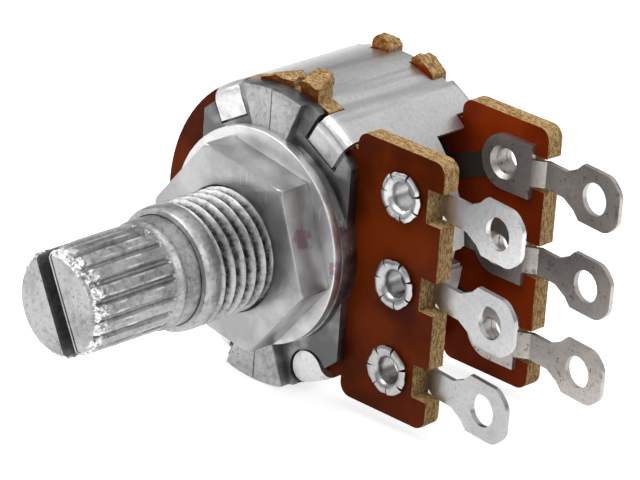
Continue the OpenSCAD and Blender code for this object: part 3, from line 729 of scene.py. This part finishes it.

# %% [markdown]
# ## Phenolic paper
# The boards are layers of paper soaked in brown resin. Their faces are glossy and deep red-brown, and
# where they were punched the edges show the pale fibres. The rear board's resin is lighter than the front's,
# as painted light. A face looks along Y and an edge doesn't, so the piece's own normal tells the two apart.

# %% Board finish
def phenolic(name, dark, light, ear_torn):
    """The boards' resin. Faces of the ears, above the case, show fibres by the share that is torn."""
    finish = Finish(name)
    where = place(finish)
    aloft = step(axes(finish, where)[2], 8.3 * MM, 8.6 * MM)
    normal = finish.add("ShaderNodeTexCoord")[1]
    facing = axes(finish, normal)[1].math("ABSOLUTE")
    face = step(facing, 0.8, 0.97)
    broad = cloud(finish, where, 4.0, 3)
    fine = cloud(finish, where, 0.3, 3)
    resin = blend(step(broad, 0.3, 0.7), dark, light)
    fibres = cloud(finish, place(finish, stretch=(1, 2.4, 1)), 0.3, 4, 0.7)
    flecks = cloud(finish, place(finish, stretch=(1, 1.5, 1)), 0.14, 3, 0.7)
    edge = blend(step(fibres, 0.35, 0.65), (0.24, 0.12, 0.035), (0.56, 0.4, 0.2))
    edge = blend(step(flecks, 0.54, 0.64) * 0.85, edge, (0.07, 0.025, 0.008))
    golden = blend(step(fibres, 0.35, 0.65), (0.16, 0.06, 0.012), (0.42, 0.22, 0.06))
    colour = blend(face, edge, blend(aloft * ear_torn, resin, golden))
    height = (1 - face) * (fibres + flecks) + face * (fine * 0.04 + broad * 0.1)
    rough = (1 - face) * 0.5 + 0.3
    bump = relief(finish, height, 0.08)
    return surface(finish, colour, rough, bump, metal=0.0, **{"Specular IOR Level": 0.04})


phenolic_front = phenolic("phenolic_front", (0.06, 0.0075, 0.0004), (0.16, 0.022, 0.001), 0.3)
# Painted light: the rear board's resin is a lighter copy of the front's.
phenolic_rear = phenolic("phenolic_rear", (0.14, 0.015, 0.001), (0.26, 0.03, 0.002), 0.85)

# %% [markdown]
# ## Punched and broken edges
# The boards were punched out of a sheet and snapped off a strip, so the rims are slightly furred and the
# ears torn. Noise in the finish alone would leave their outlines straight. The copies are cut into
# finer faces, then noise moves the rims a little and the ears more.

# %% Roughen the boards
def torn_board(node, name, low_y, high_y, ear_low, finish):
    shape = copy_of(node)
    slice_up(shape, 1, low_y + 0.12, high_y - 0.12, 4)
    slice_up(shape, 2, ear_low - 0.3, 9.6, 11)
    slice_up(shape, 0, -2.2, 3.2, 26)
    slice_up(shape, 2, -7.2, 7.2, 30)
    slice_up(shape, 0, 6, 11.2, 8)
    box_low, box_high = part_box(node)
    for vert in shape.verts:
        spot = vert.co / MM
        inside = rise(spot.y, low_y, low_y + 0.1) * rise(high_y - spot.y, 0, 0.1)
        rim = inside if (spot.x > 5.6 or math.hypot(spot.x, spot.z) > 7.8) else 0
        torn = rise(spot.z, ear_low, ear_low + 0.35) if -2.3 < spot.x < 3.3 else 0
        pull = noise.noise_vector(spot / 0.3) * 0.035 * rim + noise.noise_vector(spot / 0.45) * 0.16 * torn
        pull += noise.noise_vector(spot / 0.16) * 0.05 * torn
        vert.co += Vector((pull.x, pull.y * torn, pull.z)) * MM
        vert.co.x = min(max(vert.co.x, box_low[0]), box_high[0])
        vert.co.z = min(max(vert.co.z, box_low[2]), box_high[2])
    hand_over(shape, name, "housing", finish, [node], smooth=30)


torn_board("front_wafer", "front_board", 1.2, 2.3, 8.45, phenolic_front)
torn_board("rear_wafer", "rear_board", 9.35, 10.45, 8.4, phenolic_rear)

# %% [markdown]
# ## Inside
# The pieces inside are seen only through the open side.

# %% Inner finishes
def plain(name, colour, rough, metal, size_mm):
    finish = Finish(name)
    where = place(finish)
    fine = cloud(finish, where, size_mm, 3)
    broad = cloud(finish, where, size_mm * 8, 2)
    dark = tuple(part * 0.7 for part in colour)
    colour_here = blend(fine * 0.5 + broad * 0.5, dark, colour)
    return surface(finish, colour_here, rough + fine * 0.15, relief(finish, fine, 0.015), metal=metal)


wear(plain("acetal", (0.78, 0.75, 0.66), 0.42, 0.0, 0.5), "rotor")
wear(plain("bronze", (0.72, 0.5, 0.26), 0.3, 1.0, 0.3), "front_wiper", "rear_wiper")
wear(plain("spring_steel", (0.3, 0.3, 0.32), 0.35, 1.0, 0.3), "shaft_clip")
wear(plain("carbon", (0.03, 0.018, 0.012), 0.5, 0.0, 0.2), "front_track", "rear_track")
wear(plain("silver_ink", (0.55, 0.55, 0.54), 0.45, 1.0, 0.2), "front_collector", "rear_collector")

# %% [markdown]
# ## The studio
# A white floor and soft light. The floor is part paint, which takes the shadow, and part glow, which the
# camera and reflections see, so that it is white without more light on the part. The world is white at
# the horizon, as the floor is, dims above it and brightens again overhead, so that the metals reflect
# bands of dark and light.

# %% Floor, lamps and world
floor_z = cad_low.z - 0.02 * MM
floor_mesh = bpy.data.meshes.new("floor")
builder = bmesh.new()
bmesh.ops.create_grid(builder, x_segments=1, y_segments=1, size=3.0)
bmesh.ops.translate(builder, vec=(0, 0, floor_z), verts=builder.verts)
builder.to_mesh(floor_mesh)
builder.free()
floor = bpy.data.objects.new("floor", floor_mesh)
bpy.context.scene.collection.objects.link(floor)

paper = Finish("floor_paper")
seen = paper.add("ShaderNodeLightPath")
looked_at = seen[0].math("MAXIMUM", seen[3]).math("MAXIMUM", seen[6])
paint = paper.add("ShaderNodeBsdfDiffuse", None, {"Color": (0.5, 0.5, 0.5, 1)})[0]
glow = paper.add("ShaderNodeEmission", None, {"Color": (1, 1, 1, 1), "Strength": looked_at * 0.75})[0]
both = paper.add("ShaderNodeAddShader", None, {0: paint, 1: glow})[0]
paper.add("ShaderNodeOutputMaterial", None, {0: both})
floor_mesh.materials.append(paper.material)


def lamp(name, where, size, power):
    """A square soft lamp that points at the part."""
    light = bpy.data.lights.new(name, "AREA")
    light.size = size
    light.energy = power
    holder = bpy.data.objects.new(name, light)
    spot = Vector(where)
    holder.matrix_world = Matrix.Translation(spot) @ (-spot).to_track_quat("-Z", "Y").to_matrix().to_4x4()
    bpy.context.scene.collection.objects.link(holder)


lamp("top_lamp", (-0.1, -0.15, 0.5), 0.3, 1.5)
lamp("left_lamp", (-0.5, -0.2, 0.3), 0.22, 0.9)
lamp("right_lamp", (0.45, 0.05, 0.3), 0.2, 0.7)

world = bpy.data.worlds.new("tent")
bpy.context.scene.world = world
world.use_nodes = True
tent = world.node_tree
tent.nodes.clear()
direction = tent.nodes.new("ShaderNodeTexCoord")
parts = tent.nodes.new("ShaderNodeSeparateXYZ")
bands = tent.nodes.new("ShaderNodeValToRGB")
sky = [(0.0, 1), (0.06, 1), (0.2, 0.15), (0.4, 0.36), (0.7, 0.85)]
set_stops(bands.color_ramp, [(height, grey(light)) for height, light in sky])
shade = tent.nodes.new("ShaderNodeBackground")
out = tent.nodes.new("ShaderNodeOutputWorld")
tent.links.new(direction.outputs[0], parts.inputs[0])
tent.links.new(parts.outputs[2], bands.inputs[0])
tent.links.new(bands.outputs[0], shade.inputs[0])
tent.links.new(shade.outputs[0], out.inputs[0])

bpy.context.scene.view_settings.view_transform = "Standard"
print("floor at, in mm:", round(floor_z / MM, 2))
